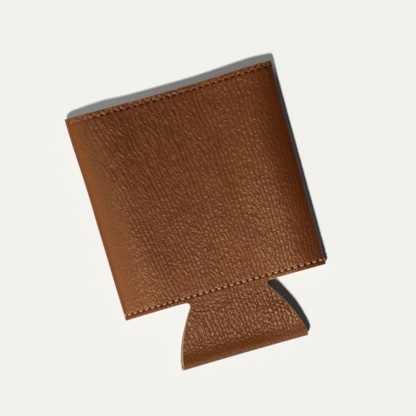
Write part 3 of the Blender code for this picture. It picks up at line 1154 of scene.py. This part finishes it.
def thicken_lining(lining):
    """Give the foam its thickness, inwards, and soften its two ends."""
    solidify = lining.modifiers.new("thickness", "SOLIDIFY")
    solidify.thickness = LINING
    solidify.offset = -1.0
    solidify.use_even_offset = True
    bevel = lining.modifiers.new("soft edge", "BEVEL")
    bevel.width = FOAM_BEVEL
    bevel.segments = 2
    bevel.limit_method = "ANGLE"
    bevel.angle_limit = radians(50)
    apply_modifiers(lining)


def make_lining():
    """The foam tube inside the shell."""
    lining = add_object("lining_foam", lining_mesh(), [foam_material()])
    thicken_lining(lining)
    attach(lining, "root")
    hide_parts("lining")
    return lining


def row_stitches(row, gap, slant):
    """Ends of the stitches of one row, each as two places on the blank."""
    reach = BLANK_HALF - 1.0 * MM
    first = ceil(row.number(-reach))
    last = int(np.floor(row.number(reach)))
    stitches = []
    for number in range(first, last):
        start = row.place(number) + gap / 2
        end = row.place(number + 1) - gap / 2
        stitches.append(((start, row.up - slant), (end, row.up + slant)))
    return stitches


def seam_stitches(side):
    """Ends of the stitches of the row up the back on one side of the butt seam."""
    across = side * (BLANK_HALF - SEAM_ROW)
    count = round((BODY_HEIGHT - 2 * MOUTH_ROW) / SEAM_PITCH)
    step = (BODY_HEIGHT - 2 * MOUTH_ROW) / count
    stitches = []
    for i in range(count):
        start = MOUTH_ROW + i * step + SEAM_STITCH_GAP / 2
        end = MOUTH_ROW + (i + 1) * step - SEAM_STITCH_GAP / 2
        stitches.append(((across, start), (across, end)))
    return stitches


def stitch_line(tube, start, end, shares, width, height):
    """Middle line of one stitch, with its unit directions sideways and out of the leather."""
    flat = np.array(start) + (np.array(end) - np.array(start)) * shares[:, None]
    across, up = flat[:, 0], flat[:, 1]
    normal = outward(tube, across, up)
    top = height + (BACK_THREAD_RISE - height) * on_back(across)
    arch = top * np.sin(pi * shares) ** THREAD_FULLNESS
    rise = relief(across, up) + arch - THREAD_SINK * width
    centre = fold(tube, across, up) + normal * rise[:, None]
    settle(centre, across, up)
    forward = np.gradient(centre, axis=0)
    forward /= np.linalg.norm(forward, axis=1, keepdims=True)
    side = np.cross(normal, forward)
    side /= np.linalg.norm(side, axis=1, keepdims=True)
    return centre, side, np.cross(forward, side)


def stitch_bodies(tube, stitches, width, height):
    """Mesh data of one row: each stitch is a short round thread that dives in at both ends."""
    shares = np.linspace(0, 1, THREAD_RINGS)
    verts, faces = [], []
    for start, end in stitches:
        centre, side, out = stitch_line(tube, start, end, shares, width, height)
        first = len(verts)
        for r in range(THREAD_RINGS):
            thin = 0.5 + 0.5 * sin(pi * shares[r]) ** 0.5
            for s in range(THREAD_SIDES):
                turn = 2 * pi * s / THREAD_SIDES
                spread = width / 2 * thin * (side[r] * cos(turn) + out[r] * sin(turn))
                verts.append(tuple(centre[r] + spread))
        last = len(verts) - THREAD_SIDES
        faces += wrapped_grid(THREAD_SIDES, THREAD_RINGS, first)
        faces.append(tuple(first + s for s in reversed(range(THREAD_SIDES))))
        faces.append(tuple(last + s for s in range(THREAD_SIDES)))
    return verts, faces


def make_row(name, tube, stitches, material, width, height):
    verts, faces = stitch_bodies(tube, stitches, width, height)
    row = add_object(name, smooth_mesh(name, verts, faces), [material])
    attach(row, "root")
    return row


def make_stitching(tube):
    tan_thread = thread_material("tan_thread", *TAN_THREAD)
    dark_thread = thread_material("dark_thread", *DARK_THREAD, THREAD_WORN_SHARE)
    foot = row_stitches(FOOT_STITCHES, FOOT_GAP, FOOT_SLANT)
    mouth = row_stitches(MOUTH_STITCHES, MOUTH_GAP, 0.0)
    seams = seam_stitches(-1) + seam_stitches(1)
    return [
        make_row("foot_thread", tube, foot, tan_thread, *FOOT_THREAD),
        make_row("mouth_thread", tube, mouth, dark_thread, *MOUTH_THREAD),
        make_row("seam_thread", tube, seams, dark_thread, *SEAM_THREAD),
    ]


# The studio


KEY_DIRECTION = (0.366, 0.483, -0.7955)
KEY_STRENGTH = 3.85
KEY_ANGLE = 7.0
AMBIENT = 0.037
AMBIENT_COLOUR = (0.88, 1.0, 1.12, 1)
FILL_PLACE = (-0.015, -0.165, 0.23)
FILL_SIZE = 0.10
FILL_POWER = 0.39
FLOOR_SIZE = 3.0
FLOOR_DROP = 0.1 * MM

# The camera looks straight down and is turned, so that the sleeve leans to the left in the picture
LENS = 150.0
SENSOR = 36.0
CAMERA_LEAN = 16
PICTURE_WIDTH = 216.6 * MM
PICTURE_MIDDLE = (3.23 * MM, 44.4 * MM)
SURFACE = 8.5 * MM


def make_floor():
    bpy.ops.mesh.primitive_plane_add(size=FLOOR_SIZE, location=(0, 0, -FLOOR_DROP))
    floor = bpy.context.active_object
    floor.name = "floor"
    floor.data.materials.append(floor_material())


def add_side_fill(pieces):
    """A soft box at the foot end on the left that lights the sleeve and not the paper."""
    light = bpy.data.lights.new("side_fill", "AREA")
    light.shape = "DISK"
    light.size = FILL_SIZE
    light.energy = FILL_POWER
    box = bpy.data.objects.new("side_fill", light)
    box.location = FILL_PLACE
    box.rotation_euler = Vector(FILL_PLACE).to_track_quat("Z", "Y").to_euler()
    bpy.context.scene.collection.objects.link(box)
    lit = bpy.data.collections.new("lit_by_side_fill")
    for piece in pieces:
        lit.objects.link(piece)
    box.light_linking.receiver_collection = lit


def add_key():
    """The light from beyond the foot at the left, which throws the shadows."""
    light = bpy.data.lights.new("key", "SUN")
    light.energy = KEY_STRENGTH
    light.angle = radians(KEY_ANGLE)
    sun = bpy.data.objects.new("key", light)
    sun.rotation_euler = Vector(KEY_DIRECTION).to_track_quat("-Z", "Y").to_euler()
    bpy.context.scene.collection.objects.link(sun)


def light_studio(pieces):
    world = bpy.data.worlds.new("studio")
    bpy.context.scene.world = world
    world.use_nodes = True
    background = world.node_tree.nodes["Background"]
    background.inputs["Color"].default_value = AMBIENT_COLOUR
    background.inputs["Strength"].default_value = AMBIENT
    bpy.context.scene.view_settings.view_transform = "Standard"
    add_key()
    add_side_fill(pieces)


def aim_camera():
    camera = bpy.data.cameras.new("camera")
    camera.lens = LENS
    camera.sensor_width = SENSOR
    holder = bpy.data.objects.new("camera", camera)
    across, past_foot = PICTURE_MIDDLE
    holder.location = (across, FOOT_Y + past_foot, SURFACE + PICTURE_WIDTH * LENS / SENSOR)
    holder.rotation_euler = (0, 0, -radians(CAMERA_LEAN))
    bpy.context.scene.collection.objects.link(holder)
    bpy.context.scene.camera = holder


def build():
    tube = Tube(WALL, SEAM_GAP)
    pieces = [make_shell(tube), make_lining()] + make_stitching(tube)
    make_floor()
    light_studio(pieces)
    aim_camera()


build()
